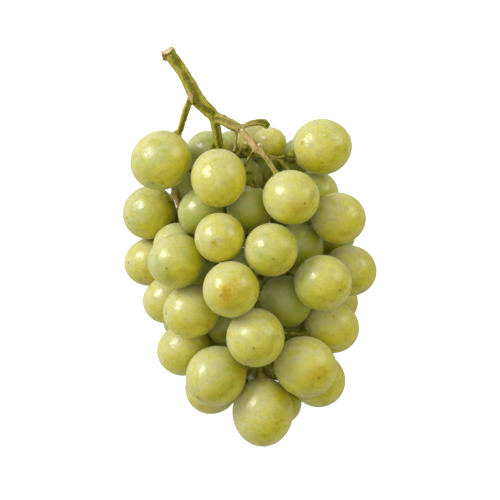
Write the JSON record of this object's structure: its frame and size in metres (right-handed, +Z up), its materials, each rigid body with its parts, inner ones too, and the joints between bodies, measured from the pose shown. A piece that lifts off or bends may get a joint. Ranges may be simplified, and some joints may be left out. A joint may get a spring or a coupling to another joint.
{
  "type": "bunch of grapes",
  "caption": "Bunch of large pale green table grapes with its cut stem, lying on its back on a flat surface.",
  "frame": {"origin": "centre of the whole bunch's box, on the surface that it lies on", "axes": "+Z up, away from the surface; +Y along the bunch towards the cut end of the stem; +X to the right when seen from above with the stem at the top"},
  "size_m": [0.1026, 0.1594, 0.0705],
  "materials": {
    "berry_skin": "thin waxy skin over translucent flesh, pale yellow-green with a soft bloom and small freckles",
    "stem_wood": "green stem, ridged, with tan woody patches and a pale torn end"
  },
  "bodies": {
    "root": {"back_berry_01": "berry_skin", "back_berry_02": "berry_skin", "back_berry_03": "berry_skin", "back_berry_04": "berry_skin", "back_berry_05": "berry_skin", "back_berry_06": "berry_skin", "back_berry_07": "berry_skin", "back_berry_08": "berry_skin", "back_berry_09": "berry_skin", "back_berry_10": "berry_skin", "back_berry_11": "berry_skin", "back_berry_12": "berry_skin", "back_berry_13": "berry_skin", "back_berry_14": "berry_skin", "back_berry_15": "berry_skin", "front_berry_01": "berry_skin", "front_berry_02": "berry_skin", "front_berry_03": "berry_skin", "front_berry_04": "berry_skin", "front_berry_05": "berry_skin", "front_berry_06": "berry_skin", "front_berry_07": "berry_skin", "front_berry_08": "berry_skin", "inner_berry_01": "berry_skin", "inner_berry_02": "berry_skin", "inner_berry_03": "berry_skin", "inner_berry_04": "berry_skin", "inner_berry_05": "berry_skin", "inner_berry_06": "berry_skin", "inner_berry_07": "berry_skin", "inner_berry_08": "berry_skin", "inner_berry_09": "berry_skin", "inner_berry_10": "berry_skin", "inner_berry_11": "berry_skin", "left_berry_01": "berry_skin", "left_berry_02": "berry_skin", "left_berry_03": "berry_skin", "left_berry_04": "berry_skin", "left_berry_05": "berry_skin", "right_berry_01": "berry_skin", "right_berry_02": "berry_skin", "right_berry_03": "berry_skin", "right_berry_04": "berry_skin", "right_berry_05": "berry_skin", "shoulder_berry_01": "berry_skin", "shoulder_berry_02": "berry_skin", "stem": "stem_wood", "tip_berry_01": "berry_skin", "tip_berry_02": "berry_skin", "tip_berry_03": "berry_skin", "tip_berry_04": "berry_skin", "tip_berry_05": "berry_skin", "top_berry_01": "berry_skin", "top_berry_02": "berry_skin", "top_berry_03": "berry_skin", "top_berry_04": "berry_skin", "top_berry_05": "berry_skin", "top_berry_06": "berry_skin"}
  },
  "joints": []
}
